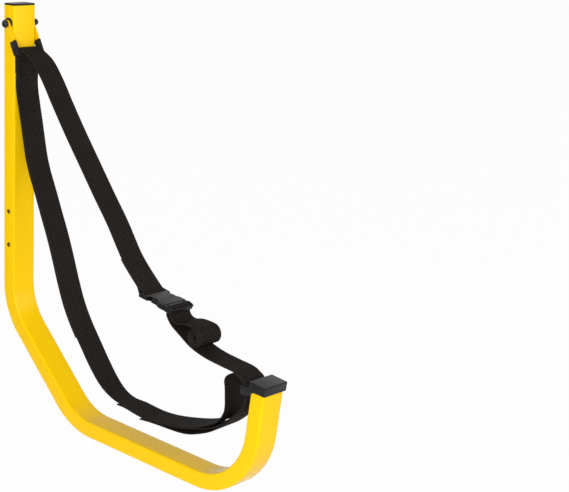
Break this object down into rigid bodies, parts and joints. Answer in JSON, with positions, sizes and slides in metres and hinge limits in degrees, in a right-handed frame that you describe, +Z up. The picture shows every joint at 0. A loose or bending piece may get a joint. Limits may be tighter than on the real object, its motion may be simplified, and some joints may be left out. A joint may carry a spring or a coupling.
{
  "type": "kayak wall hook",
  "caption": "Wall hook for a kayak: bent box-tube arm, webbing sling slung between a swinging hanger and the arm's tip, and a safety strap with a side-release buckle.",
  "frame": {"origin": "on the tube's rear face, which lies against the wall, midway across it and midway between the two cross holes", "axes": "+Z up along the wall, +Y into the wall, so the arm reaches out towards -Y; +X across the tube"},
  "size_m": [0.0806, 0.6643, 0.7846],
  "materials": {
    "tube": "yellow powder coat",
    "ear": "yellow powder coat",
    "plug": "black moulded plastic",
    "cap": "black moulded plastic",
    "bolt": "blackened steel",
    "bush": "black nylon",
    "bar": "zinc plated",
    "webbing": "black polyester webbing",
    "buckle": "black acetal, satin"
  },
  "bodies": {
    "root": {"hook_tube": "tube", "top_plug": "plug", "pivot_bolt": "bolt", "pivot_nut": "bolt", "pivot_bush_left": "bush", "pivot_bush_right": "bush", "tip_cap": "cap", "sling_strap_upper": "webbing", "sling_strap_lower": "webbing", "safety_strap_upper": "webbing", "safety_strap_lower": "webbing", "buckle_female": "buckle"},
    "hanger": {"hanger_ear_left": "ear", "hanger_ear_right": "ear", "hanger_cap_left": "plug", "hanger_cap_right": "plug", "hanger_strap_bar": "bar"},
    "buckle_lock": {"buckle_male": "buckle", "strap_tail_roll": "webbing"},
    "latch_left": {"buckle_prong_left": "buckle"},
    "latch_right": {"buckle_prong_right": "buckle"}
  },
  "joints": [
    {"name": "hanger_pivot", "type": "hinge", "parent": "root", "child": "hanger", "pos_m": [0, -0.015, 0.3806], "axis": [-1, 0, 0], "range_deg": [-1.5, 35], "deforming": ["sling_strap_upper", "safety_strap_upper"]},
    {"name": "buckle_release", "type": "slide", "parent": "root", "child": "buckle_lock", "axis": [0, -0.9816, -0.1908], "range_m": [0, 0.03]},
    {"name": "latch_left_press", "type": "hinge", "parent": "buckle_lock", "child": "latch_left", "pos_m": [-0.019, -0.429, -0.06502], "axis": [0, -0.1908, 0.9816], "range_deg": [-6, 0], "stiffness_Nm_per_rad": 1.5},
    {"name": "latch_right_press", "type": "hinge", "parent": "buckle_lock", "child": "latch_right", "pos_m": [0.019, -0.429, -0.06502], "axis": [0, -0.1908, 0.9816], "range_deg": [0, 6], "stiffness_Nm_per_rad": 1.5}
  ]
}
